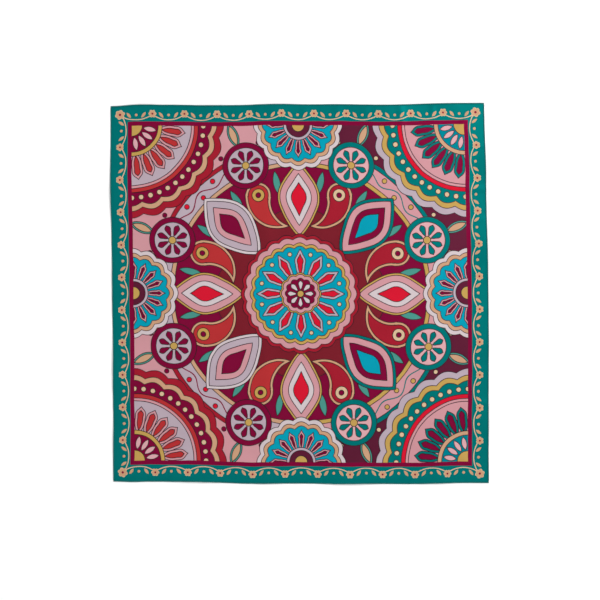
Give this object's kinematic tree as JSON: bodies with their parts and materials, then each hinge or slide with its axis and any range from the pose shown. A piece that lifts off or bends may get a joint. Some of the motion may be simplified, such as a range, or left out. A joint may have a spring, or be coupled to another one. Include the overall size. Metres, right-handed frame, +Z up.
{
  "type": "silk square scarf",
  "caption": "Square printed silk twill scarf with hand-rolled hems, spread flat with its face up.",
  "frame": {"origin": "centre of the scarf's outline, on the surface that it lies on", "axes": "+Z up out of the printed face, +Y towards the top side as printed, +X towards the right side"},
  "size_m": [0.9051, 0.9115, 0.0063],
  "materials": {
    "printed_silk": "silk twill with a soft sheen, printed in wine, rose, lilac, red, turquoise and ochre inside a teal border",
    "hem_silk": "teal silk twill, rolled by hand and whip-stitched"
  },
  "bodies": {
    "root": {"panel": "printed_silk", "hem_top": "hem_silk", "hem_right": "hem_silk", "hem_bottom": "hem_silk", "hem_left": "hem_silk"}
  },
  "joints": []
}
